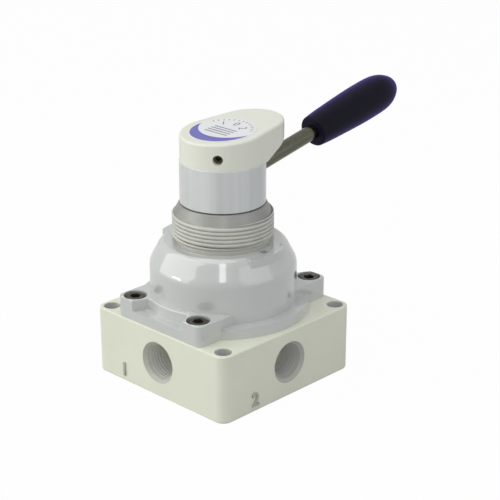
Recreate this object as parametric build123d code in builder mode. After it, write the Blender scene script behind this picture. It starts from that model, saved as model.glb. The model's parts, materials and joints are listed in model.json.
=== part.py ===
"""Hand lever air valve: four-port plate valve with a panel neck and a lever.

Millimetres, +Z up.  The origin is the middle of the face that sits on the bench.
The lever points along +Y in its middle position.
"""
import os
from math import acos, asin, atan2, cos, degrees, radians, sin, sqrt, tan

from build123d import *

os.makedirs("parts", exist_ok=True)

# ---------------------------------------------------------------- fits
running = 0.03          # radial play of a turning or sliding fit
seated = 0.02           # radial play of a located fit
gap = 0.3               # clear space between faces that never touch

# ---------------------------------------------------------------- base block
base_side = 92.0
base_height = 35.1
base_corner = 5.4
base_edge = 1.2
mount_inset = 6.0       # a fixing hole's centre from the sides
mount_pitch = base_side - 2 * mount_inset
mount_dia = 8.5

# ---------------------------------------------------------------- ports, G1/2
port_height = 18.2
port_bore = 18.6
port_mouth = 21.9
port_depth = 15.0
passage_dia = 12.0
passage_pcd = 36.0

# ---------------------------------------------------------------- screws
m6_dia = 6.0
m6_head = 10.0
m6_head_h = 6.0
m6_hex = 5.0
m5_dia = 5.0
m5_hex = 2.5

# ---------------------------------------------------------------- cover casting
ear_half_x = 29.5
ear_half_y = base_side / 2 - 0.6
ear_corner = 3.4
lug_top = 10.8          # above the base
pocket_top = 5.0
pocket_outer = 18.6     # half width of the pocket at the outside
pocket_inner = 14.4     # and at the band
band_radius = ear_half_y - 5.4
ring_radius = ear_half_y - 2.4
ring_top = 5.5
screw_pitch_x = 45.0
screw_pitch_y = 2 * (ear_half_y - 6.0)
screw_cbore = 11.7
screw_thread = 13.0
screw_seat = 4.4        # metal left under a screw head

dome_radius = 37.0
dome_wall_top = 58.0
seat_height = 71.5
seat_radius = 29.6
pad_reach = 33.6
pad_half = 12.3
pad_hole_pitch = 56.0
pad_hole_depth = 8.5
pad_hole = 4.0
cavity_radius = 32.0

# ---------------------------------------------------------------- neck
neck_radius = 24.4
neck_crest = 25.3
neck_thread_top = 84.6
neck_top = 91.0
neck_top_radius = 21.8
neck_foot = 1.5
neck_undercut = 0.7
spigot_radius = 20.0
neck_flange = 25.5
neck_flange_thick = 2.0
wiper_thick = 3.0

# ---------------------------------------------------------------- valve parts
plate_radius = 30.0
plate_thick = 4.0
gasket_thick = 1.0
plate_recess = 2.0      # the plate stands this deep in the base
dowel_dia = 4.0
dowel_length = 8.0
rotor_radius = 27.0
rotor_thick = 11.0
kidney_depth = 4.5
kidney_width = 10.0
spring_wire = 1.8
spring_mean = 14.8
spring_height = 7.2
spring_pocket = 4.1
ball_dia = 6.0
ball_radius_at = 23.8
detent_mean = 2.35
detent_wire = 0.9
carrier_radius = 26.6
carrier_thick = 6.8
washer_thick = 1.5
washer_radius = 19.5
tongue_length = 16.0
tongue_width = 8.0
oring_wire = 2.0
seal_mean = 34.5
seal_rise = 5.0          # the shaft seal above the cover's ceiling
spindle_radius = 10.0
bush_radius = 13.0
detent_bore = 28.0
detent_wall = 1.6
notch_radius = 4.0
notch_depth = 2.2
turn_half = 45.0
stop_dia = 4.0
stop_at = 23.0

# ---------------------------------------------------------------- hub, cap, lever
hub_gap = 0.4
hub_radius = 21.4
hub_top = 112.8
boss_radius = 12.0
boss_height = 9.0
hub_thread = 7.5
cap_radius = 21.1
cap_height = 14.5       # on the turning axis
cap_slope = 4.7         # the top rises toward the lever
cap_edge = 1.2
snout_reach = 18.5
snout_radius = 17.5
snout_slope = 23.5      # the underside of the nose rises faster
snout_start = 12.0
set_angle = -51.0
set_height = 5.5
set_length = 5.5
set_socket = 3.0
label_radius = 16.8
label_thick = 0.7
rod_dia = 8.0
rod_height = 98.9
rod_tilt = 11.85
rod_inner = -6.0
grip_start = 67.3
grip_end = 133.2
grip_edge = 1.2
grip_small = 8.3
grip_waist = 9.4
grip_waist_at = 84.0
grip_large = 10.25
grip_large_at = 108.0
grip_nose = 7.0
grip_nose_back = 4.6
grip_socket = 58.0

# ---------------------------------------------------------------- levels built up
plate_floor = base_height - plate_recess
gasket_floor = plate_floor - gasket_thick
plate_top = plate_floor + plate_thick
rotor_top = plate_top + rotor_thick
pocket_floor = rotor_top - spring_pocket
carrier_floor = pocket_floor + spring_height
carrier_top = carrier_floor + carrier_thick
ceiling = carrier_top + washer_thick
carrier_mid = carrier_floor + carrier_thick / 2
lug_level = base_height + lug_top
stop_seat = (seat_height - neck_flange_thick - ceiling) / 2     # half the web above the ceiling
hub_floor = neck_top + hub_gap
boss_top = hub_top + boss_height

LEVER = Plane(
    origin=(0, 0, rod_height),
    x_dir=(1, 0, 0),
    z_dir=(0, cos(radians(rod_tilt)), sin(radians(rod_tilt))),
)
TOP = Plane(
    origin=(0, 0, hub_top + cap_height),
    x_dir=(1, 0, 0),
    z_dir=(0, -sin(radians(cap_slope)), cos(radians(cap_slope))),
)


def save(piece, name):
    """Write one finished piece under its own name."""
    piece.part.label = name
    export_step(piece.part, "parts/" + name + ".step")


def side_plane(turn):
    """Outside face of the base that looks along the given direction."""
    reach = base_side / 2
    way = (cos(radians(turn)), sin(radians(turn)), 0)
    return Plane(origin=(reach * way[0], reach * way[1], port_height), z_dir=way)


def cover_screw_spots():
    return GridLocations(screw_pitch_x, screw_pitch_y, 2, 2)


# ================================================================ base
with BuildPart() as base:
    with BuildSketch():
        RectangleRounded(base_side, base_side, base_corner)
    extrude(amount=base_height)
    fillet(base.faces().sort_by(Axis.Z)[0].edges(), radius=base_edge)
    chamfer(base.faces().sort_by(Axis.Z)[-1].edges(), length=base_edge / 3)
    # seat of the port plate, its gasket and the cover seal
    with BuildSketch(Plane.XY.offset(gasket_floor)):
        Circle(plate_radius + seated)
    extrude(amount=base_height - gasket_floor, mode=Mode.SUBTRACT)
    with BuildSketch(Plane.XY.offset(base_height - oring_wire)):
        Circle(seal_mean + oring_wire * 0.6)
        Circle(seal_mean - oring_wire * 0.6, mode=Mode.SUBTRACT)
    extrude(amount=oring_wire, mode=Mode.SUBTRACT)
    # the four ports and the passages that turn up under the plate
    for turn in (0, 90, 180, 270):
        with BuildSketch(side_plane(turn)):
            Circle(port_bore / 2)
        extrude(amount=-port_depth, mode=Mode.SUBTRACT)
        with BuildSketch(side_plane(turn)):
            Circle(passage_dia / 2)
        extrude(amount=-(base_side - passage_pcd) / 2 - passage_dia / 4, mode=Mode.SUBTRACT)
    with BuildSketch(Plane.XY.offset(port_height)):
        with PolarLocations(passage_pcd / 2, 4):
            Circle(passage_dia / 2)
    extrude(amount=base_height - port_height, mode=Mode.SUBTRACT)
    mouth_lip = (port_mouth - port_bore) / 2
    for turn in (0, 90, 180, 270):
        with BuildSketch(side_plane(turn)):
            Circle(port_mouth / 2)
        extrude(amount=-mouth_lip, taper=45, mode=Mode.SUBTRACT)
    # fixing holes, cover screw threads, dowel holes
    with Locations(Plane.XY.offset(base_height)):
        with GridLocations(mount_pitch, mount_pitch, 2, 2):
            Hole(mount_dia / 2)
        with GridLocations(screw_pitch_x, screw_pitch_y, 2, 2):
            Hole(m6_dia / 2 + seated, depth=screw_thread + 1)
    with Locations(Plane.XY.rotated((0, 0, 45)).offset(gasket_floor)):
        with PolarLocations(passage_pcd / 2 + dowel_dia, 2):
            Hole(dowel_dia / 2 + seated, depth=dowel_length / 2 + gap)
save(base, "base")

# ================================================================ seals under the cover
with BuildPart() as cover_seal:
    with BuildSketch(Plane.XZ):
        with Locations((seal_mean, base_height - oring_wire / 2)):
            Circle(oring_wire / 2)
    revolve(axis=Axis.Z)
save(cover_seal, "cover_seal")

with BuildPart() as plate_gasket:
    with BuildSketch(Plane.XY.offset(gasket_floor)):
        Circle(plate_radius)
        with PolarLocations(passage_pcd / 2, 4):
            Circle(passage_dia / 2, mode=Mode.SUBTRACT)
        with PolarLocations(passage_pcd / 2 + dowel_dia, 2, start_angle=45):
            Circle(dowel_dia / 2 + seated, mode=Mode.SUBTRACT)
    extrude(amount=gasket_thick)
save(plate_gasket, "plate_gasket")

# ================================================================ port plate
with BuildPart() as port_plate:
    with BuildSketch(Plane.XY.offset(plate_floor)):
        Circle(plate_radius)
        with PolarLocations(passage_pcd / 2, 4):
            Circle(kidney_width / 2, mode=Mode.SUBTRACT)
    extrude(amount=plate_thick)
    chamfer(port_plate.faces().sort_by(Axis.Z)[-1].outer_wire().edges(), length=gap)
    with BuildSketch(Plane.XY.offset(plate_floor)):
        with PolarLocations(passage_pcd / 2 + dowel_dia, 2, start_angle=45):
            Circle(dowel_dia / 2 + seated)
    extrude(amount=plate_thick / 2 + gap, mode=Mode.SUBTRACT)
save(port_plate, "port_plate")

with BuildPart() as plate_dowels:
    dowel_floor = plate_floor + plate_thick / 2 - dowel_length + gasket_thick
    with BuildSketch(Plane.XY.offset(dowel_floor)):
        with PolarLocations(passage_pcd / 2 + dowel_dia, 2, start_angle=45):
            Circle(dowel_dia / 2)
    extrude(amount=plate_floor + plate_thick / 2 - dowel_floor)
    chamfer(plate_dowels.edges().filter_by(GeomType.CIRCLE), length=gap)
save(plate_dowels, "plate_dowels")

# ================================================================ rotor
with BuildPart() as rotor:
    with BuildSketch(Plane.XY.offset(plate_top)):
        Circle(rotor_radius)
    extrude(amount=rotor_thick)
    chamfer(rotor.edges().filter_by(GeomType.CIRCLE), length=gap * 2)
    # two banana hollows in the lapped face, each long enough to join two ports
    with BuildSketch(Plane.XY.offset(plate_top)):
        with PolarLocations(0, 2):
            SlotArc(
                CenterArc((0, 0), passage_pcd / 2, -turn_half, 2 * turn_half, mode=Mode.PRIVATE),
                height=kidney_width,
            )
    extrude(amount=kidney_depth, mode=Mode.SUBTRACT)
    # ring pocket for the spring and the slot for the spindle tongue
    with BuildSketch(Plane.XY.offset(pocket_floor)):
        Circle(spring_mean + spring_wire * 2)
        Circle(spring_mean - spring_wire * 2, mode=Mode.SUBTRACT)
    extrude(amount=spring_pocket, mode=Mode.SUBTRACT)
    with BuildSketch(Plane.XY.offset(pocket_floor - gap)):
        Rectangle(tongue_length + 2 * running, tongue_width + 2 * running)
    extrude(amount=spring_pocket + gap, mode=Mode.SUBTRACT)
save(rotor, "rotor")


def coil(mean, wire, height, turns):
    """Closed helical spring standing on XY, drawn as one swept wire."""
    rise = height - wire
    path = Helix(pitch=rise / turns, height=rise, radius=mean)
    start = Plane(origin=path @ 0, z_dir=path % 0)
    return sweep(start * Circle(wire / 2), path=path)


rotor_coil = coil(spring_mean, spring_wire, spring_height, 2.5)
with BuildPart() as rotor_spring:
    with Locations((0, 0, pocket_floor + spring_wire / 2)):
        add(rotor_coil)
save(rotor_spring, "rotor_spring")

# ================================================================ spindle with its carrier disc
detent_back = spindle_radius + detent_wall
with BuildPart() as spindle:
    with BuildSketch(Plane.XY.offset(carrier_floor)):
        Circle(carrier_radius)
    extrude(amount=carrier_thick)
    chamfer(spindle.edges().filter_by(GeomType.CIRCLE), length=gap)
    with BuildSketch(Plane.XY.offset(carrier_top)):
        Circle(spindle_radius)
    extrude(amount=hub_top - carrier_top)
    chamfer(spindle.faces().sort_by(Axis.Z)[-1].edges(), length=gap * 2)
    with BuildSketch(Plane.XY.offset(pocket_floor)):
        Rectangle(tongue_length, tongue_width)
    extrude(amount=spring_height)
    # radial bores for the detent springs and balls
    for way in (1, -1):
        with BuildSketch(Plane(origin=(way * detent_back, 0, carrier_mid), z_dir=(way, 0, 0))):
            Circle(ball_dia / 2 + running)
        extrude(amount=carrier_radius, mode=Mode.SUBTRACT)
    # arc slots that run over the stop pins
    with BuildSketch(Plane.XY.offset(carrier_mid)):
        with PolarLocations(0, 2, start_angle=90):
            SlotArc(
                CenterArc((0, 0), stop_at, -turn_half - 1, 2 * turn_half + 2, mode=Mode.PRIVATE),
                height=stop_dia + 2 * gap,
            )
    extrude(amount=carrier_thick, mode=Mode.SUBTRACT)
    # groove of the shaft seal
    with BuildSketch(Plane.XY.offset(ceiling + seal_rise)):
        Circle(spindle_radius + gap)
        Circle(spindle_radius - oring_wire, mode=Mode.SUBTRACT)
    extrude(amount=oring_wire * 1.25, mode=Mode.SUBTRACT)
    # socket of the lever rod and thread of the hub screw
    with BuildSketch(LEVER.offset(rod_inner - gap)):
        Circle(rod_dia / 2 + seated)
    extrude(amount=2 * hub_radius, mode=Mode.SUBTRACT)
    with BuildSketch(Plane.XY.offset(hub_top)):
        Circle(m6_dia / 2 + seated)
    extrude(amount=-hub_thread - gap, mode=Mode.SUBTRACT)
save(spindle, "spindle")

with BuildPart() as spindle_seal:
    with BuildSketch(Plane.XZ):
        with Locations((spindle_radius - oring_wire / 2, ceiling + seal_rise + oring_wire * 0.625)):
            Circle(oring_wire / 2)
    revolve(axis=Axis.Z)
save(spindle_seal, "spindle_seal")

with BuildPart() as detent_balls:
    with Locations((ball_radius_at, 0, carrier_mid), (-ball_radius_at, 0, carrier_mid)):
        Sphere(ball_dia / 2)
save(detent_balls, "detent_balls")

spring_room = ball_radius_at - ball_dia / 2 - detent_back
detent_coil = coil(detent_mean, detent_wire, spring_room - running, 4)
with BuildPart() as detent_springs:
    for way in (0, 180):
        with Locations(Location((0, 0, carrier_mid), (0, 0, way))):
            with Locations(Location((detent_back + detent_wire / 2, 0, 0), (0, 90, 0))):
                add(detent_coil)
save(detent_springs, "detent_springs")

# ================================================================ fixed ring, pins and washer
with BuildPart() as detent_ring:
    with BuildSketch(Plane.XY.offset(carrier_floor)):
        Circle(cavity_radius - seated)
        Circle(detent_bore, mode=Mode.SUBTRACT)
        for back in (0, 180):
            for step in (-turn_half, 0, turn_half):
                reach = detent_bore + notch_depth - notch_radius
                turn = radians(back + step)
                with Locations((reach * cos(turn), reach * sin(turn))):
                    Circle(notch_radius, mode=Mode.SUBTRACT)
    extrude(amount=carrier_thick)
save(detent_ring, "detent_ring")

with BuildPart() as stop_pins:
    pin_floor = carrier_mid + gap
    with BuildSketch(Plane.XY.offset(pin_floor)):
        with Locations((0, stop_at), (0, -stop_at)):
            Circle(stop_dia / 2)
    extrude(amount=ceiling + stop_seat - pin_floor)
    chamfer(stop_pins.edges().filter_by(GeomType.CIRCLE), length=gap)
save(stop_pins, "stop_pins")

with BuildPart() as thrust_washer:
    with BuildSketch(Plane.XY.offset(carrier_top)):
        Circle(washer_radius)
        Circle(spindle_radius + gap, mode=Mode.SUBTRACT)
    extrude(amount=washer_thick)
save(thrust_washer, "thrust_washer")

# ================================================================ cover casting
with BuildPart() as cover:
    # rectangular foot with its four ears
    with BuildSketch(Plane.XY.offset(base_height)):
        RectangleRounded(2 * ear_half_x, 2 * ear_half_y, ear_corner)
    extrude(amount=lug_top)
    with BuildSketch(Plane.XY.offset(base_height + pocket_top)):
        for way in (1, -1):
            with BuildLine():
                Polyline(
                    (-pocket_outer, way * base_side / 2),
                    (-pocket_inner, way * (band_radius - 2)),
                    (pocket_inner, way * (band_radius - 2)),
                    (pocket_outer, way * base_side / 2),
                    close=True,
                )
            make_face()
        Circle(band_radius, mode=Mode.SUBTRACT)
    extrude(amount=lug_top, mode=Mode.SUBTRACT)
    fillet(cover.faces().sort_by(Axis.Z)[-1].edges(), radius=0.6)
    # round flange
    with BuildSketch(Plane.XY.offset(base_height)):
        Circle(ring_radius)
    extrude(amount=ring_top)
    # dome
    with BuildSketch(Plane.XZ):
        with BuildLine():
            wall = Line((dome_radius, base_height), (dome_radius, dome_wall_top))
            Spline(
                wall @ 1,
                ((dome_radius + seat_radius) / 2 + 0.9, (dome_wall_top + seat_height) / 2 + 1.0),
                (seat_radius + 2.2, seat_height - 1.6),
                (seat_radius, seat_height),
                tangents=((0, 1), (-1, 0.45)),
            )
            Polyline((seat_radius, seat_height), (0, seat_height), (0, base_height), wall @ 0)
        make_face()
    revolve(axis=Axis.Z)
    # two flat pads for the panel screws
    with BuildSketch(Plane.XY.offset(dome_wall_top)):
        Circle(pad_reach)
        Rectangle(2 * pad_reach, 2 * pad_half, mode=Mode.INTERSECT)
    extrude(amount=seat_height - dome_wall_top)
    # hollow inside
    with BuildSketch(Plane.XY.offset(base_height)):
        Circle(cavity_radius)
    extrude(amount=ceiling - base_height, mode=Mode.SUBTRACT)
    with BuildSketch(Plane.XY.offset(ceiling)):
        Circle(spigot_radius + seated)
    extrude(amount=seat_height - ceiling, mode=Mode.SUBTRACT)
    with BuildSketch(Plane.XY.offset(seat_height - neck_flange_thick)):
        Circle(neck_flange + seated)
    extrude(amount=neck_flange_thick, mode=Mode.SUBTRACT)
    with BuildSketch(Plane.XY.offset(ceiling)):
        with Locations((0, stop_at), (0, -stop_at)):
            Circle(stop_dia / 2 + seated)
    extrude(amount=stop_seat + gap, mode=Mode.SUBTRACT)
    # screw holes
    with BuildSketch(Plane.XY.offset(base_height)):
        with cover_screw_spots():
            Circle(m6_dia / 2 + gap)
    extrude(amount=lug_top, mode=Mode.SUBTRACT)
    with BuildSketch(Plane.XY.offset(base_height + screw_seat)):
        with cover_screw_spots():
            Circle(screw_cbore / 2)
    extrude(amount=lug_top, mode=Mode.SUBTRACT)
    with BuildSketch(Plane.XY.offset(seat_height)):
        with GridLocations(pad_hole_pitch, 1, 2, 1):
            Circle(pad_hole / 2)
    extrude(amount=-pad_hole_depth, mode=Mode.SUBTRACT)
save(cover, "cover")

with BuildPart() as cover_screws:
    head_floor = base_height + screw_seat
    with BuildSketch(Plane.XY.offset(head_floor)):
        with cover_screw_spots():
            Circle(m6_head / 2)
    extrude(amount=m6_head_h)
    chamfer(cover_screws.faces().sort_by(Axis.Z)[-4:].edges(), length=0.5)
    with BuildSketch(Plane.XY.offset(base_height - screw_thread)):
        with cover_screw_spots():
            Circle(m6_dia / 2)
    extrude(amount=screw_thread + screw_seat)
    with BuildSketch(Plane.XY.offset(head_floor + m6_head_h)):
        with cover_screw_spots():
            RegularPolygon(m6_hex / 2, 6, major_radius=False)
    extrude(amount=-m6_head_h / 2, mode=Mode.SUBTRACT)
save(cover_screws, "cover_screws")

# ================================================================ panel neck
with BuildPart() as neck:
    with BuildSketch(Plane.XZ):
        with BuildLine():
            Polyline(
                (bush_radius, ceiling),
                (spigot_radius, ceiling),
                (spigot_radius, seat_height - neck_flange_thick),
                (neck_flange, seat_height - neck_flange_thick),
                (neck_flange, seat_height),
                (neck_radius - neck_undercut, seat_height),
                (neck_radius - neck_undercut, seat_height + neck_foot),
                (neck_radius, seat_height + neck_foot + neck_undercut),
                (neck_radius, neck_thread_top - neck_undercut),
                (neck_crest, neck_thread_top),
                (neck_top_radius, neck_top),
                (bush_radius + oring_wire, neck_top),
                (bush_radius + oring_wire, neck_top - wiper_thick),
                (bush_radius, neck_top - wiper_thick),
                (bush_radius, ceiling),
            )
        make_face()
    revolve(axis=Axis.Z)
    rim = neck.edges().filter_by(GeomType.CIRCLE).filter_by(
        lambda e: abs(e.radius - neck_top_radius) < 0.01)
    fillet(rim, radius=1.2)
    collar = neck.edges().filter_by(GeomType.CIRCLE).filter_by(
        lambda e: abs(e.radius - neck_crest) < 0.01 and e.arc_center.Z > seat_height)
    fillet(collar, radius=1.0)
save(neck, "neck")

with BuildPart() as neck_bush:
    with BuildSketch(Plane.XY.offset(ceiling)):
        Circle(bush_radius - seated)
        Circle(spindle_radius + running, mode=Mode.SUBTRACT)
    extrude(amount=neck_top - wiper_thick - ceiling)
save(neck_bush, "neck_bush")

with BuildPart() as dust_wiper:
    with BuildSketch(Plane.XY.offset(neck_top - wiper_thick)):
        Circle(bush_radius + oring_wire - seated)
        Circle(spindle_radius + gap, mode=Mode.SUBTRACT)
    extrude(amount=wiper_thick - gap)
save(dust_wiper, "dust_wiper")

# ================================================================ hub
with BuildPart() as hub:
    with BuildSketch(Plane.XY.offset(hub_floor)):
        Circle(hub_radius)
    extrude(amount=hub_top - hub_floor)
    fillet(hub.edges().filter_by(GeomType.CIRCLE), radius=0.5)
    with BuildSketch(Plane.XY.offset(hub_top)):
        Circle(boss_radius)
    extrude(amount=boss_height)
    with BuildSketch(Plane.XY.offset(hub_floor)):
        Circle(spindle_radius + seated)
    extrude(amount=hub_top - hub_floor, mode=Mode.SUBTRACT)
    with BuildSketch(Plane.XY.offset(hub_top)):
        Circle(m6_dia / 2 + gap)
    extrude(amount=boss_height, mode=Mode.SUBTRACT)
    with BuildSketch(Plane.XY.offset(boss_top - m6_head_h - gap)):
        Circle(m6_head / 2 + gap)
    extrude(amount=boss_height, mode=Mode.SUBTRACT)
    with BuildSketch(LEVER):
        Circle(rod_dia / 2 + seated)
    extrude(amount=2 * hub_radius, mode=Mode.SUBTRACT)
save(hub, "hub")

with BuildPart() as hub_screw:
    head_at = boss_top - m6_head_h - gap
    with BuildSketch(Plane.XY.offset(head_at)):
        Circle(m6_head / 2)
    extrude(amount=m6_head_h)
    with BuildSketch(Plane.XY.offset(hub_top - hub_thread)):
        Circle(m6_dia / 2)
    extrude(amount=head_at - hub_top + hub_thread)
    with BuildSketch(Plane.XY.offset(head_at + m6_head_h)):
        RegularPolygon(m6_hex / 2, 6, major_radius=False)
    extrude(amount=-m6_head_h / 2, mode=Mode.SUBTRACT)
save(hub_screw, "hub_screw")

# ================================================================ cap
tangent = acos((cap_radius - snout_radius) / snout_reach)
set_way = (cos(radians(set_angle)), sin(radians(set_angle)), 0)
SET = Plane(
    origin=(boss_radius * set_way[0], boss_radius * set_way[1], hub_top + set_height),
    z_dir=set_way,
)
snout_tip = snout_reach + snout_radius
with BuildPart() as cap:
    # drop outline: a big and a small round joined by their common tangents
    with BuildSketch(Plane.XY.offset(hub_top)):
        Circle(cap_radius)
        with Locations((0, snout_reach)):
            Circle(snout_radius)
        with BuildLine():
            Polyline(
                (cap_radius * sin(tangent), cap_radius * cos(tangent)),
                (snout_radius * sin(tangent), snout_reach + snout_radius * cos(tangent)),
                (-snout_radius * sin(tangent), snout_reach + snout_radius * cos(tangent)),
                (-cap_radius * sin(tangent), cap_radius * cos(tangent)),
                close=True,
            )
        make_face()
    extrude(amount=2 * cap_height)
    with BuildSketch(TOP):
        Rectangle(base_side, base_side)
    extrude(amount=2 * cap_height, mode=Mode.SUBTRACT)
    # the nose gets thinner toward its tip, over the lever
    with BuildPart(mode=Mode.SUBTRACT):
        with BuildSketch(Plane.YZ.offset(-base_side / 2)):
            with BuildLine():
                low = hub_top - base_edge
                far = snout_tip + base_edge
                Polyline(
                    (snout_start, hub_top),
                    (snout_start, low),
                    (far, low),
                    (far, hub_top + (far - snout_start) * tan(radians(snout_slope))),
                    close=True,
                )
            make_face()
        extrude(amount=base_side)
        with BuildSketch(Plane.XY.offset(hub_top - 2 * base_edge)):
            Circle(cap_radius)
        extrude(amount=cap_height, mode=Mode.SUBTRACT)
    fillet(cap.faces().sort_by(Axis.Z)[-1].edges(), radius=cap_edge)
    # room for the hub boss, the set screw and the dial disc
    with BuildSketch(Plane.XY.offset(hub_top)):
        Circle(boss_radius + seated)
    extrude(amount=boss_height + gap, mode=Mode.SUBTRACT)
    with BuildSketch(SET):
        Circle(m5_dia / 2 + seated)
    extrude(amount=cap_radius, mode=Mode.SUBTRACT)
    with BuildSketch(TOP):
        Circle(label_radius + seated)
    extrude(amount=-label_thick * 0.8, mode=Mode.SUBTRACT)
save(cap, "cap")

with BuildPart() as cap_set_screw:
    with BuildSketch(SET):
        Circle(m5_dia / 2)
    extrude(amount=set_length)
    with BuildSketch(SET.offset(set_length)):
        RegularPolygon(m5_hex / 2, 6, major_radius=False)
    extrude(amount=-set_socket, mode=Mode.SUBTRACT)
save(cap_set_screw, "cap_set_screw")

with BuildPart() as dial_disc:
    with BuildSketch(TOP.offset(-label_thick * 0.8)):
        Circle(label_radius)
    extrude(amount=label_thick)
save(dial_disc, "dial_disc")

# ================================================================ lever
with BuildPart() as lever_rod:
    with BuildSketch(LEVER.offset(rod_inner)):
        Circle(rod_dia / 2)
    extrude(amount=grip_start + grip_socket - rod_inner - gap)
    chamfer(lever_rod.edges().filter_by(GeomType.CIRCLE), length=0.6)
save(lever_rod, "lever_rod")

with BuildPart() as lever_grip:
    GRIP = Plane(origin=(0, 0, rod_height), x_dir=LEVER.z_dir, z_dir=(1, 0, 0))
    edge_in = grip_edge * (1 - sqrt(0.5))
    with BuildSketch(GRIP):
        with BuildLine():
            body = Spline(
                (grip_start + grip_edge, grip_small),
                (grip_waist_at, grip_waist),
                (grip_large_at, grip_large),
                tangents=((1, 0.12), (1, 0)),
            )
            nose = Spline(
                body @ 1,
                (grip_end - grip_nose_back, grip_nose),
                (grip_end, 0),
                tangents=((1, 0), (0, -1)),
            )
            Polyline(
                nose @ 1,
                (grip_start + grip_socket, 0),
                (grip_start + grip_socket, rod_dia / 2 + seated),
                (grip_start, rod_dia / 2 + seated),
                (grip_start, grip_small - grip_edge),
            )
            ThreePointArc(
                (grip_start, grip_small - grip_edge),
                (grip_start + edge_in, grip_small - edge_in),
                body @ 0,
            )
        make_face()
    revolve(axis=Axis(origin=(0, 0, rod_height), direction=LEVER.z_dir))
save(lever_grip, "lever_grip")
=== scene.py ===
"""Looks of the hand lever air valve: finishes, threads, dial, numbers, light and camera."""
import json
import math

import bmesh
import bpy
from mathutils import Matrix, Vector


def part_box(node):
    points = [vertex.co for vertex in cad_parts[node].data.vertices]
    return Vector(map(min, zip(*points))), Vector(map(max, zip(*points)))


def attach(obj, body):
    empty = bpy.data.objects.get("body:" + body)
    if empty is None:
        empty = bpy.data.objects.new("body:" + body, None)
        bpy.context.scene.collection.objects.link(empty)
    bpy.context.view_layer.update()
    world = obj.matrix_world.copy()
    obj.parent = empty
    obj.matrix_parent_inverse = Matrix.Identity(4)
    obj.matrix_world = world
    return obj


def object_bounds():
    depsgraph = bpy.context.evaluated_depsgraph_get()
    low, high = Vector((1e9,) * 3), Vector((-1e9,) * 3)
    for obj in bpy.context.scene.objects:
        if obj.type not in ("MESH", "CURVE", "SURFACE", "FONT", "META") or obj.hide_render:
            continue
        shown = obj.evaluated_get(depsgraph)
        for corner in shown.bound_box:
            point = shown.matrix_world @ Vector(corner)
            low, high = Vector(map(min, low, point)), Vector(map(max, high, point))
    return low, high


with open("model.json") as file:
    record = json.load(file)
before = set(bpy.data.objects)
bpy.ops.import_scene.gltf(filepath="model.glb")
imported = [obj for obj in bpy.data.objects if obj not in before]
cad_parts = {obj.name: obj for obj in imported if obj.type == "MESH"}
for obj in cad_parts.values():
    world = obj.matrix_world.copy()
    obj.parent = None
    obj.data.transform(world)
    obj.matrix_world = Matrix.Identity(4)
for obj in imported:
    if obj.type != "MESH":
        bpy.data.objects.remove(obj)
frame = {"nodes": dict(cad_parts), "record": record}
cad_low, cad_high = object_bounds()
record = frame["record"]
mounts = {mount["name"]: mount for mount in record["mounts"]}
MM = 0.001


# ---------------------------------------------------------------- shader arithmetic
class Value:
    """A shader value that takes part in plain arithmetic."""

    def __init__(self, nodes, socket):
        self.nodes = nodes
        self.socket = socket

    def math(self, operation, other=None, turned=False):
        feeds = [other, self] if turned else [self, other]
        sockets = {place: feed for place, feed in enumerate(feeds) if feed is not None}
        return self.nodes.node("ShaderNodeMath", {"operation": operation}, sockets).out()

    def __add__(self, other):
        return self.math("ADD", other)

    def __radd__(self, other):
        return self.math("ADD", other, turned=True)

    def __sub__(self, other):
        return self.math("SUBTRACT", other)

    def __rsub__(self, other):
        return self.math("SUBTRACT", other, turned=True)

    def __mul__(self, other):
        return self.math("MULTIPLY", other)

    def __rmul__(self, other):
        return self.math("MULTIPLY", other, turned=True)

    def __pow__(self, other):
        return self.math("POWER", other)

    def size(self):
        return self.math("ABSOLUTE")

    def most(self, other):
        return self.math("MAXIMUM", other)

    def ramp(self, start, end, low=0.0, high=1.0):
        """Goes smoothly from low to high as the value goes from start to end."""
        sockets = {0: self, 1: start, 2: end, 3: low, 4: high}
        return self.nodes.node(
            "ShaderNodeMapRange", {"interpolation_type": "SMOOTHSTEP"}, sockets
        ).out()


class Node:
    """One shader node, with its outputs as values."""

    def __init__(self, nodes, made):
        self.nodes = nodes
        self.made = made

    def out(self, which=0):
        return Value(self.nodes, self.made.outputs[which])


class Nodes:
    """The node tree of a material or a world, built up node by node."""

    def __init__(self, owner):
        owner.use_nodes = True
        self.owner = owner
        self.tree = owner.node_tree
        self.tree.nodes.clear()

    def node(self, kind, settings=None, sockets=None):
        made = self.tree.nodes.new(kind)
        for key, value in (settings or {}).items():
            setattr(made, key, value)
        for key, value in (sockets or {}).items():
            if isinstance(value, Value):
                self.tree.links.new(value.socket, made.inputs[key])
            else:
                made.inputs[key].default_value = value
        return Node(self, made)


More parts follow.
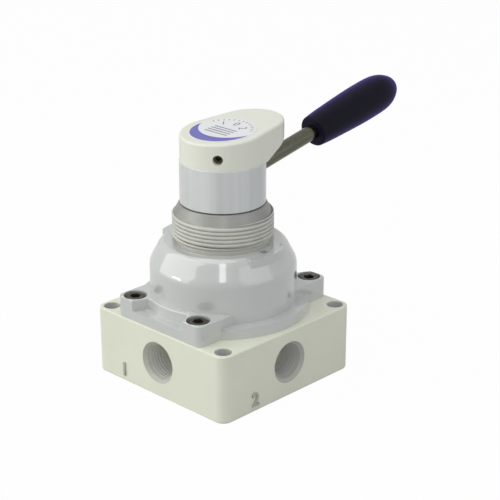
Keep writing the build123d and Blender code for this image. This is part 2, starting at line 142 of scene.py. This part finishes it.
class Finish(Nodes):
    """One material of the valve, with patterns on the object's own coordinates."""

    def __init__(self, name):
        super().__init__(bpy.data.materials.new(name))
        self.place = self.node("ShaderNodeTexCoord").out("Object")

    def along(self, axis):
        return self.node("ShaderNodeSeparateXYZ", sockets={0: self.place}).out(axis)

    def noise(self, per_metre, detail=2.0, rough=0.5, stretch=None):
        place = self.place
        if stretch:
            sockets = {"Vector": place, "Scale": stretch}
            place = self.node("ShaderNodeMapping", sockets=sockets).out()
        sockets = {"Vector": place, "Scale": per_metre, "Detail": detail, "Roughness": rough}
        return self.node("ShaderNodeTexNoise", sockets=sockets).out("Fac")

    def cells(self, per_metre):
        return self.node(
            "ShaderNodeTexVoronoi", sockets={"Vector": self.place, "Scale": per_metre}
        ).out("Distance")

    def blend(self, share, first, second):
        sockets = {0: share, 6: first, 7: second}
        return self.node("ShaderNodeMix", {"data_type": "RGBA"}, sockets).out(2)

    def relief(self, height, depth, strength=1.0, under=None):
        sockets = {"Height": height, "Distance": depth, "Strength": strength}
        if under:
            sockets["Normal"] = under
        return self.node("ShaderNodeBump", sockets=sockets).out()

    def surface(self, **sockets):
        """Ends the material in one plain surface shader."""
        named = {key.replace("_", " "): value for key, value in sockets.items()}
        shader = self.node("ShaderNodeBsdfPrincipled", sockets=named)
        self.node("ShaderNodeOutputMaterial", sockets={"Surface": shader.out("BSDF")})
        return self.owner


def rgb(red, green, blue):
    return (red, green, blue, 1.0)


# ---------------------------------------------------------------- finishes
# the first tone is a painted reflection: pale upright streaks that stand for lamps mirrored in the
# glossy hub
PAINTED_REFLECTION_TONE = (0.80, 0.81, 0.83)
DIRT_TONE = (0.34, 0.32, 0.27)
CUT_TONE = (0.58, 0.58, 0.54)


def paint(name, colour, shade, rough, peel, cast, coat, reflection_streaks=0.0, wet=1.5):
    """Stoved paint: orange peel, soft mottling and small dark specks.

    cast is the depth of a cast grain under it in mm, reflection_streaks the share of pale
    upright streaks painted in as reflections of the lamps, and wet the index of the clear coat on
    top.
    """
    f = Finish(name)
    mottle = f.noise(38, 3.0, 0.55)
    fine = f.noise(620, 2.0, 0.5)
    pits = f.cells(210).ramp(0.0, 0.22, 1.0, 0.0)
    speck = (f.noise(1500, 1.0) - 0.66).ramp(0.0, 0.08)
    colour_map = f.blend(mottle.ramp(0.38, 0.68) * 0.55, rgb(*colour), rgb(*shade))
    colour_map = f.blend(speck * 0.10, colour_map, rgb(*DIRT_TONE))
    gloss = rough + (fine - 0.5) * 0.08 + (mottle - 0.5) * 0.14
    # pale upright streaks in the colour: a painted reflection of the lamps
    if reflection_streaks:
        upright = f.noise(120, 2.0, 0.55, (1, 1, 0.02))
        share = upright.ramp(0.35, 0.68) * reflection_streaks
        colour_map = f.blend(share, colour_map, rgb(*PAINTED_REFLECTION_TONE))
    skin = f.relief(fine, peel * MM, 0.6)
    if cast:
        skin = f.relief(f.noise(160, 3.0, 0.6) + pits * 0.12, cast * MM, 0.8, skin)
    return f.surface(
        Base_Color=colour_map, Roughness=gloss, Normal=skin,
        Coat_Weight=coat, Coat_Roughness=0.05, Coat_IOR=wet, IOR=1.5,
    )


def turned_metal(name, colour, shade, rough, metallic, cut_below=None):
    """Lathe-turned metal: fine rings about the valve's axis, dulled in patches.

    Below the height cut_below it is paler, as a cut thread is.
    """
    f = Finish(name)
    rings = f.noise(90, 2.0, 0.6, (1, 1, 55))
    fine = f.noise(900, 1.0, 0.5, (1, 1, 6))
    dull = f.noise(45, 3.0, 0.6)
    colour_map = f.blend(dull.ramp(0.35, 0.7), rgb(*colour), rgb(*shade))
    if cut_below is not None:
        soft = 0.3 * MM
        cut = f.along("Z").ramp(cut_below - soft, cut_below + soft, 1.0, 0.0)
        colour_map = f.blend(cut, colour_map, rgb(*CUT_TONE))
    gloss = rough + (dull - 0.5) * 0.22 + (fine - 0.5) * 0.10
    return f.surface(
        Base_Color=colour_map, Roughness=gloss, Metallic=metallic,
        Normal=f.relief(rings + fine * 0.3, 0.010 * MM, 0.7),
    )


def drawn_steel(name, colour, shade, rough=0.2):
    """Drawn bar: long faint scratches along the lever."""
    f = Finish(name)
    run = f.noise(240, 2.0, 0.6, (9, 0.25, 9))
    smear = f.noise(70, 2.0, 0.5)
    colour_map = f.blend(run.ramp(0.35, 0.7), rgb(*colour), rgb(*shade))
    gloss = rough + (run - 0.5) * 0.12 + (smear - 0.5) * 0.12
    return f.surface(
        Base_Color=colour_map, Roughness=gloss, Metallic=1.0,
        Normal=f.relief(run, 0.006 * MM, 0.5),
    )


def blackened(name, colour, shade):
    """Oil-blackened screw steel, a little rubbed."""
    f = Finish(name)
    rub = f.noise(420, 3.0, 0.65)
    fine = f.noise(2400, 1.0)
    colour_map = f.blend(rub.ramp(0.5, 0.74), rgb(*colour), rgb(*shade))
    return f.surface(
        Base_Color=colour_map, Roughness=0.42 + (rub - 0.5) * 0.3, Metallic=0.85,
        Normal=f.relief(fine, 0.01 * MM, 0.5),
    )


def moulded(name, colour, shade, rough, seam=False, sheen=0.0):
    """Moulded plastic: faint flow marks, tiny dimples and, on the grip, its mould seam.

    sheen is the share of a violet bloom on the faces that are seen at a slant.
    """
    f = Finish(name)
    flow = f.noise(60, 3.0, 0.5, (1.6, 0.5, 1.6))
    fine = f.noise(1300, 2.0, 0.5)
    scuff = f.noise(300, 2.0, 0.6, (0.5, 2.0, 1.0)).ramp(0.6, 0.78)
    colour_map = f.blend(flow.ramp(0.35, 0.7), rgb(*colour), rgb(*shade))
    skin = f.relief(fine, 0.008 * MM, 0.5)
    if seam:
        ridge = f.along("X").size().ramp(0.05 * MM, 0.28 * MM, 1.0, 0.0)
        skin = f.relief(ridge, 0.06 * MM, 0.7, skin)
    return f.surface(
        Base_Color=colour_map, Roughness=rough + (flow - 0.5) * 0.1 + scuff * 0.1,
        Normal=skin, IOR=1.45, Specular_IOR_Level=0.15,
        Sheen_Weight=sheen, Sheen_Roughness=0.33, Sheen_Tint=rgb(0.22, 0.12, 1.0),
    )


def soft_rubber(name, colour):
    f = Finish(name)
    fine = f.noise(1800, 2.0)
    bloom = f.noise(140, 3.0).ramp(0.4, 0.7)
    colour_map = f.blend(bloom * 0.5, rgb(*colour), rgb(0.09, 0.09, 0.09))
    return f.surface(
        Base_Color=colour_map, Roughness=0.72 + (fine - 0.5) * 0.2,
        Normal=f.relief(fine, 0.02 * MM, 0.6),
    )


def printed_disc(name, centre, radius):
    """White label with a violet sickle on the side away from the lever.

    The sickle is what is left of one circle when another, nearer the lever, covers it.
    """
    f = Finish(name)
    x = f.along("X") - centre.x
    y = f.along("Y") - centre.y
    outer = (x ** 2.0 + y ** 2.0) ** 0.5
    inner = (x ** 2.0 + (y - 0.42 * radius) ** 2.0) ** 0.5
    blur = 0.05 * MM
    edge = 0.955 * radius
    sickle = outer.ramp(edge - blur, edge, 1.0, 0.0) * inner.ramp(radius, radius + blur)
    tone = f.noise(260, 2.0)
    white = f.blend(tone, rgb(0.80, 0.81, 0.84), rgb(0.86, 0.86, 0.87))
    violet = f.blend(tone, rgb(0.10, 0.10, 0.47), rgb(0.13, 0.13, 0.53))
    return f.surface(
        Base_Color=f.blend(sickle, white, violet), Roughness=0.38 + (tone - 0.5) * 0.1,
        Normal=f.relief(f.noise(1400, 1.0), 0.004 * MM, 0.5), Coat_Weight=0.2,
    )


disc_low, disc_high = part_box("dial_disc")
disc_centre = (disc_low + disc_high) / 2
disc_radius = (disc_high.x - disc_low.x) / 2
disc_thick = 0.7 * MM
disc_slope = math.asin((disc_high.z - disc_low.z - disc_thick) / (2 * disc_radius))
DIAL = (
    Matrix.Translation(disc_centre)
    @ Matrix.Rotation(disc_slope, 4, "X")
    @ Matrix.Translation((0, 0, disc_thick / 2))
)

shoulder_height = 6.4 * MM      # the plain cone above the neck's thread
neck_low, neck_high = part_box("neck")
neck_shoulder = neck_high.z - shoulder_height

ink = moulded("ink_grey", (0.22, 0.23, 0.33), (0.28, 0.29, 0.38), 0.5)
bore_metal = turned_metal("bore_metal", (0.72, 0.72, 0.70), (0.64, 0.64, 0.62), 0.36, 0.2)
thread_metal = turned_metal("thread_metal", (0.62, 0.62, 0.57), (0.54, 0.54, 0.50), 0.5, 0.15)
# darker grey for the port mouths: painted shade
rim_paint = paint("rim_paint", (0.50, 0.51, 0.46), (0.45, 0.46, 0.42), 0.5, 0.02, 0.03, 0.0)
# darker grey of the raised port numbers: painted shade of their relief
mark_paint = paint("mark_paint", (0.46, 0.47, 0.42), (0.42, 0.43, 0.39), 0.44, 0.02, 0.05, 0.1)
finishes = {
    "cream_paint": paint(
        "cream_paint", (0.80, 0.82, 0.69), (0.77, 0.78, 0.66), 0.44, 0.02, 0.05, 0.1
    ),
    "cap_paint": paint(
        "cap_paint", (0.81, 0.82, 0.73), (0.78, 0.79, 0.70), 0.36, 0.012, 0.02, 0.2
    ),
    "grey_paint": paint(
        "grey_paint", (0.56, 0.58, 0.57), (0.53, 0.55, 0.54), 0.19, 0.008, 0.012, 1.0, wet=1.8
    ),
    # the hub's pale upright streaks are painted reflections of the lamps
    "hub_paint": paint(
        "hub_paint", (0.61, 0.63, 0.63), (0.57, 0.59, 0.59), 0.20, 0.006, 0.0, 0.4, reflection_streaks=0.5
    ),
    "neck_metal": turned_metal(
        "neck_metal", (0.34, 0.34, 0.32), (0.28, 0.28, 0.265), 0.42, 0.4, neck_shoulder
    ),
    "dark_steel": blackened("dark_steel", (0.09, 0.08, 0.065), (0.24, 0.22, 0.17)),
    "steel": turned_metal("steel", (0.56, 0.56, 0.57), (0.48, 0.48, 0.49), 0.28, 1.0),
    "plate_steel": turned_metal("plate_steel", (0.62, 0.62, 0.63), (0.55, 0.55, 0.56), 0.22, 1.0),
    "bronze": turned_metal("bronze", (0.55, 0.38, 0.16), (0.45, 0.30, 0.12), 0.3, 1.0),
    "seal_rubber": soft_rubber("seal_rubber", (0.03, 0.03, 0.03)),
    "dial_white": printed_disc("dial_white", disc_centre, disc_radius),
    "rod_chrome": drawn_steel("rod_chrome", (0.165, 0.165, 0.125), (0.12, 0.12, 0.09)),
    "grip_plastic": moulded(
        "grip_plastic", (0.004, 0.004, 0.007), (0.003, 0.003, 0.005), 0.5, seam=True, sheen=1.0
    ),
}
slot_of = {part["node"]: part["material_slot"] for part in record["subparts"]}
for name, node in frame["nodes"].items():
    for place in node.material_slots:
        place.material = finishes[slot_of[name]]


# ---------------------------------------------------------------- pieces made by node trees
class Plan:
    """A geometry node tree with named sizes."""

    def __init__(self, name, **sizes):
        self.tree = bpy.data.node_groups.new(name, "GeometryNodeTree")
        self.tree.is_modifier = True
        face = self.tree.interface
        face.new_socket("Geometry", in_out="OUTPUT", socket_type="NodeSocketGeometry")
        self.sizes = sizes
        for key, value in sizes.items():
            kind = "NodeSocketInt" if isinstance(value, int) else "NodeSocketFloat"
            face.new_socket(key, in_out="INPUT", socket_type=kind)
        self.given = self.tree.nodes.new("NodeGroupInput")

    def size(self, name):
        return self.given.outputs[name]

    def node(self, kind, settings=None, sockets=None, out=0):
        made = self.tree.nodes.new(kind)
        for key, value in (settings or {}).items():
            setattr(made, key, value)
        for key, value in (sockets or {}).items():
            if isinstance(value, bpy.types.NodeSocket):
                self.tree.links.new(value, made.inputs[key])
            else:
                made.inputs[key].default_value = value
        return made.outputs[out]

    def math(self, operation, first, second=0.0):
        return self.node("ShaderNodeMath", {"operation": operation}, {0: first, 1: second})

    def vector(self, x=0.0, y=0.0, z=0.0):
        return self.node("ShaderNodeCombineXYZ", sockets={0: x, 1: y, 2: z})

    def make(self, name, geometry, material):
        """Runs the tree once and keeps its result as a plain mesh object."""
        real = self.node("GeometryNodeRealizeInstances", sockets={0: geometry})
        sockets = {"Geometry": real, "Material": material}
        done = self.node("GeometryNodeSetMaterial", sockets=sockets)
        last = self.tree.nodes.new("NodeGroupOutput")
        self.tree.links.new(done, last.inputs[0])
        seed = bpy.data.objects.new(name, bpy.data.meshes.new(name))
        bpy.context.scene.collection.objects.link(seed)
        modifier = seed.modifiers.new("plan", "NODES")
        modifier.node_group = self.tree
        for item in self.tree.interface.items_tree:
            if item.item_type == "SOCKET" and item.in_out == "INPUT":
                modifier[item.identifier] = self.sizes[item.name]
        bpy.context.view_layer.update()
        ready = seed.evaluated_get(bpy.context.evaluated_depsgraph_get())
        mesh = bpy.data.meshes.new_from_object(ready)
        mesh.name = name
        seed.modifiers.clear()
        seed.data = mesh
        if not mesh.materials:
            mesh.materials.append(material)
        return seed


def settle(piece, body):
    """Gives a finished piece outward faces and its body."""
    work = bmesh.new()
    work.from_mesh(piece.data)
    bmesh.ops.remove_doubles(work, verts=work.verts, dist=1e-6)
    bmesh.ops.recalc_face_normals(work, faces=work.faces)
    work.to_mesh(piece.data)
    work.free()
    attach(piece, body)


def move(piece, matrix):
    piece.data.transform(matrix)


def thread(name, radius, depth, pitch, turns, crest, root, metal):
    """A helical ridge that winds up about Z from z = 0, thinned at both ends.

    Its section lies half inside the radius and half outside. crest is its width
    on the outer side and root its width on the inner side.
    """
    plan = Plan(
        "thread_plan", Radius=radius, Depth=depth, Pitch=pitch, Turns=turns,
        Crest=crest, Root=root,
    )
    height = plan.math("MULTIPLY", plan.size("Pitch"), plan.size("Turns"))
    line = plan.node(
        "GeometryNodeCurveSpiral",
        sockets={
            "Resolution": 72, "Rotations": plan.size("Turns"), "Start Radius": plan.size("Radius"),
            "End Radius": plan.size("Radius"), "Height": height,
        },
    )
    upright = plan.node("GeometryNodeSetCurveNormal", {"mode": "Z_UP"}, {"Curve": line})
    along = plan.node("GeometryNodeSplineParameter")
    start = plan.math("MULTIPLY", along, plan.size("Turns"))
    left = plan.math("MULTIPLY", plan.math("SUBTRACT", 1.0, along), plan.size("Turns"))
    # full width a third of a turn from each end, and never quite nothing
    ends = plan.math("MULTIPLY", plan.math("MINIMUM", start, left), 3.0)
    fade = plan.math("MAXIMUM", plan.math("MINIMUM", ends, 1.0), 0.03)
    profile = plan.node(
        "GeometryNodeCurvePrimitiveQuadrilateral", {"mode": "TRAPEZOID"},
        {"Height": plan.size("Depth"), "Bottom Width": plan.size("Root"),
         "Top Width": plan.size("Crest"), "Offset": 0.0},
    )
    turned = plan.node(
        "GeometryNodeTransform", None,
        {"Geometry": profile, "Rotation": (0.0, 0.0, math.radians(90))},
    )
    ridge = plan.node(
        "GeometryNodeCurveToMesh", None,
        {"Curve": upright, "Profile Curve": turned, "Fill Caps": True, "Scale": fade},
    )
    return plan.make(name, ridge, metal)


# the panel neck's thread, just inside the rim of its flange
neck_thread_foot = mounts["panel_face"]["pos_m"][2] + 2.7 * MM
neck_thread = thread(
    "neck_thread", neck_high.x - 0.5 * MM, depth=0.8 * MM, pitch=2.0 * MM, turns=6.1,
    crest=0.7 * MM, root=2.6 * MM, metal=thread_metal,
)
move(neck_thread, Matrix.Translation((0, 0, neck_thread_foot)))
settle(neck_thread, "valve_body")


def lathe(name, outline, material, steps=96):
    """A closed ring: the outline, a loop of (radius, height), turned about Z."""
    work = bmesh.new()
    rows = []
    for step in range(steps):
        angle = 2 * math.pi * step / steps
        across, along = math.cos(angle), math.sin(angle)
        rows.append([work.verts.new((r * across, r * along, height)) for r, height in outline])
    for near, far in zip(rows, rows[1:] + rows[:1]):
        for here in range(len(outline)):
            there = (here + 1) % len(outline)
            work.faces.new((near[here], far[here], far[there], near[there]))
    mesh = bpy.data.meshes.new(name)
    work.to_mesh(mesh)
    work.free()
    mesh.materials.append(material)
    piece = bpy.data.objects.new(name, mesh)
    bpy.context.scene.collection.objects.link(piece)
    return piece


# bare machined walls and inside threads of the four ports, and rims at their mouths painted a
# darker grey as painted shade
PORTS = ("port_front", "port_right", "port_back", "port_left")
port_pitch = 1.814 * MM
port_lip = 1.65 * MM        # the chamfer at the mouth
port_plain = 1.0 * MM       # wall left plain at each end of the thread
clear = 0.03 * MM           # how far a lining stands off the solid
lining_thick = 0.12 * MM
for number, name in enumerate(PORTS, 1):
    mount = mounts[name]
    middle = Vector(mount["pos_m"])
    way = Vector(mount["axis"])
    turn = way.to_track_quat("Z", "Y").to_matrix().to_4x4()
    length = mount["dims"]["length_mm"] * MM
    wall = mount["dims"]["r_mm"] * MM
    face = wall - clear
    under = face - lining_thick
    ridge = thread(
        f"port_thread_{number}", wall - 0.08 * MM, depth=0.4 * MM, pitch=port_pitch,
        turns=(length - 2 * port_plain) / port_pitch, crest=1.4 * MM, root=0.6 * MM,
        metal=bore_metal,
    )
    lining = lathe(
        f"port_wall_{number}",
        [
            (face, -length / 2 + clear), (face, length / 2),
            (under, length / 2), (under, -length / 2 + clear),
        ],
        bore_metal,
    )
    mouth = length / 2 + port_lip - clear
    # the mouth chamfer, in a darker grey that is painted shade
    rim = lathe(
        f"port_rim_{number}",
        [
            (face, length / 2), (face + port_lip, mouth),
            (under + port_lip, mouth), (under, length / 2),
        ],
        rim_paint,
    )
    move(ridge, Matrix.Translation(middle - way * (length / 2 - port_plain)) @ turn)
    settle(ridge, "valve_body")
    move(lining, Matrix.Translation(middle) @ turn)
    settle(lining, "valve_body")
    move(rim, Matrix.Translation(middle) @ turn)
    settle(rim, "valve_body")

# bare drilled walls of the four fixing holes
holes = mounts["base_bolts"]["dims"]
base_low, base_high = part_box("base")
wall = holes["hole_r_mm"] * MM - clear
top = base_high.z - base_low.z - 0.2 * MM
for number, (side_x, side_y) in enumerate(((1, 1), (-1, 1), (-1, -1), (1, -1)), 1):
    lining = lathe(
        f"fixing_hole_wall_{number}",
        [(wall, clear), (wall, top), (wall - lining_thick, top), (wall - lining_thick, clear)],
        bore_metal, steps=48,
    )
    x = side_x * holes["spacing_x_mm"] / 2 * MM
    y = side_y * holes["spacing_y_mm"] / 2 * MM
    move(lining, Matrix.Translation((x, y, base_low.z)))
    settle(lining, "valve_body")


# ---------------------------------------------------------------- numbers
FONT_SIZE = 1.38        # font size of a digit one unit tall


def numeral(name, text, tall, thick, material, bevel=0.0):
    """A digit as a plain mesh, lying on XY, centred, its back on z = 0."""
    curve = bpy.data.curves.new(name, "FONT")
    curve.body = text
    curve.align_x = "CENTER"
    curve.align_y = "CENTER"
    curve.size = tall * FONT_SIZE
    curve.extrude = thick / 2
    curve.bevel_depth = bevel
    curve.bevel_resolution = 2
    holder = bpy.data.objects.new(name, curve)
    bpy.context.scene.collection.objects.link(holder)
    bpy.context.view_layer.update()
    ready = holder.evaluated_get(bpy.context.evaluated_depsgraph_get())
    mesh = bpy.data.meshes.new_from_object(ready)
    bpy.data.objects.remove(holder)
    mesh.name = name
    mesh.transform(Matrix.Translation((0, 0, thick / 2)))
    mesh.materials.clear()
    mesh.materials.append(material)
    piece = bpy.data.objects.new(name, mesh)
    bpy.context.scene.collection.objects.link(piece)
    return piece


# raised port numbers, low on each side of the block and left of its port, painted a darker grey
# than the block as painted shade of their relief
number_aside = 24.5 * MM
number_height = 6.6 * MM
number_sunk = 0.12 * MM
for number, name in enumerate(PORTS, 1):
    way = Vector(mounts[name]["axis"])
    level = Vector((0, 0, 1)).cross(way)
    spot = way * (base_high.x - number_sunk) - level * number_aside
    spot.z = base_low.z + number_height
    turn = Matrix((level, Vector((0, 0, 1)), way)).transposed().to_4x4()
    mark = numeral(
        f"port_number_{number}", str(number), 7.4 * MM, 0.9 * MM, mark_paint, bevel=0.15 * MM
    )
    move(mark, Matrix.Translation(spot) @ turn)
    settle(mark, "valve_body")

# dial print: three position numbers on the lever's side, ticks round them, plain rules below
print_thick = 0.04 * MM
for text, turn in (("1", 42.0), ("0", 0.0), ("2", -42.0)):
    digit = numeral(f"dial_number_{text}", text, 4.4 * MM, print_thick, ink)
    spin = Matrix.Rotation(math.radians(turn), 4, "Z")
    move(digit, DIAL @ spin @ Matrix.Translation((0, 0.58 * disc_radius, 0.01 * MM)))
    settle(digit, "handle")


def dial_bars(name, count, spread, step, radius, length, width):
    """Short printed bars, set round an arc or one below the other."""
    plan = Plan(
        "bar_plan", Count=count, Spread=spread, Step=step, Radius=radius,
        Length=length, Width=width, Thick=print_thick,
    )
    bar = plan.node(
        "GeometryNodeMeshCube", None,
        {"Size": plan.vector(plan.size("Width"), plan.size("Length"), plan.size("Thick"))},
    )
    out = plan.node(
        "GeometryNodeTransform", None,
        {"Geometry": bar, "Translation": plan.vector(0.0, plan.size("Radius"), 0.0)},
    )
    points = plan.node(
        "GeometryNodeMeshLine", None,
        {"Count": plan.size("Count"), "Offset": plan.vector(0.0, plan.size("Step"), 0.0)},
    )
    steps = plan.math("SUBTRACT", plan.size("Count"), 1.0)
    index = plan.node("GeometryNodeInputIndex")
    share = plan.math("SUBTRACT", plan.math("DIVIDE", index, steps), 0.5)
    turn = plan.math("MULTIPLY", share, plan.size("Spread"))
    rows = plan.node(
        "GeometryNodeInstanceOnPoints", None,
        {"Points": points, "Instance": out, "Rotation": plan.vector(0.0, 0.0, turn)},
    )
    piece = plan.make(name, rows, ink)
    move(piece, DIAL @ Matrix.Translation((0, 0, 0.03 * MM)))
    settle(piece, "handle")


dial_bars(
    "dial_ticks", count=13, spread=math.radians(125), step=0.0,
    radius=0.87 * disc_radius, length=1.6 * MM, width=0.45 * MM,
)
dial_bars(
    "dial_rules", count=4, spread=0.0, step=-2.3 * MM,
    radius=0.14 * disc_radius, length=0.75 * MM, width=15.0 * MM,
)

# ---------------------------------------------------------------- floor and light
scene = bpy.context.scene
scene.view_settings.view_transform = "Standard"


def white_when_seen(nodes, lit, glow, seen, mirrored):
    """Shows white to the camera, grey in reflections and the lit surface to all other rays.

    seen and mirrored are the shares of white, and glow is the shader that gives it.
    """
    path = nodes.node("ShaderNodeLightPath")
    camera_share = path.out("Is Camera Ray") * seen
    share = camera_share.most(path.out("Is Glossy Ray") * mirrored)
    white = nodes.node(glow, sockets={0: rgb(1, 1, 1)}).out()
    return nodes.node("ShaderNodeMixShader", sockets={0: share, 1: lit, 2: white}).out()


floor_reach = 4.0
corners = ((-1, -1), (1, -1), (1, 1), (-1, 1))
floor_mesh = bpy.data.meshes.new("studio_floor")
floor_mesh.from_pydata(
    [(x * floor_reach, y * floor_reach, cad_low.z) for x, y in corners], [], [(0, 1, 2, 3)]
)
floor = bpy.data.objects.new("studio_floor", floor_mesh)
scene.collection.objects.link(floor)
cloth = Nodes(bpy.data.materials.new("studio_floor"))
lit = cloth.node("ShaderNodeBsdfDiffuse", sockets={0: rgb(0.5, 0.5, 0.5)}).out()
shown = white_when_seen(cloth, lit, "ShaderNodeEmission", 0.98, 0.5)
cloth.node("ShaderNodeOutputMaterial", sockets={"Surface": shown})
floor_mesh.materials.append(cloth.owner)

sky = Nodes(bpy.data.worlds.new("studio"))
scene.world = sky.owner
lit = sky.node("ShaderNodeBackground", sockets={"Color": rgb(1, 1, 1), "Strength": 0.48}).out()
shown = white_when_seen(sky, lit, "ShaderNodeBackground", 1.0, 0.4)
sky.node("ShaderNodeOutputWorld", sockets={"Surface": shown})

# ---------------------------------------------------------------- camera
def bearing(turn, rise):
    """The way from the valve at turn degrees round from its front and rise degrees up."""
    turn, rise = math.radians(turn), math.radians(rise)
    return Vector((
        math.sin(turn) * math.cos(rise), -math.cos(turn) * math.cos(rise), math.sin(rise)
    ))


# distances as shares of the block's side, as they were found from the photograph
block_side = base_high.x - base_low.x
middle = Vector((0, 0, 0.6 * block_side))
camera_turn = 44.2
camera_away = 7.8011 * block_side
aim_right = 0.1459 * block_side
aim_up = 0.0990 * block_side

back = bearing(camera_turn, 21.03)
right = bearing(camera_turn + 90, 0)
up = back.cross(right)
aim = middle + right * aim_right + up * aim_up
camera_data = bpy.data.cameras.new("camera")
camera_data.sensor_width = 36.0
camera_data.lens = 102.66
camera = bpy.data.objects.new("camera", camera_data)
scene.collection.objects.link(camera)
camera_axes = Matrix((right, up, back)).transposed().to_4x4()
camera.matrix_world = Matrix.Translation(aim + back * camera_away) @ camera_axes
camera_data.clip_start = 0.01
camera_data.clip_end = 50.0
scene.camera = camera


def softbox(name, turn, rise, away, wide, tall, watts, tint=(1.0, 1.0, 1.0)):
    """A soft lamp that faces the valve.

    turn and rise are degrees, away, wide and tall are metres.
    """
    lamp = bpy.data.lights.new(name, "AREA")
    lamp.shape = "RECTANGLE"
    lamp.size = wide
    lamp.size_y = tall
    lamp.energy = watts
    lamp.color = tint
    way = bearing(turn, rise)
    holder = bpy.data.objects.new(name, lamp)
    scene.collection.objects.link(holder)
    facing = way.to_track_quat("Z", "Y").to_matrix().to_4x4()
    holder.matrix_world = Matrix.Translation(middle + way * away) @ facing


softbox("key_lamp", -38, 30, 0.9, 1.1, 1.1, 4.5, (0.98, 1.0, 0.93))
softbox("fill_lamp", 100, 12, 1.2, 1.1, 1.1, 2.1, (0.90, 0.97, 1.0))
softbox("front_strip", 44, 45, 1.2, 0.20, 0.9, 1.6)
softbox("left_glint", -30, 9, 1.2, 0.30, 0.08, 0.9)
softbox("top_lamp", -20, 80, 1.3, 0.9, 0.9, 2.6)
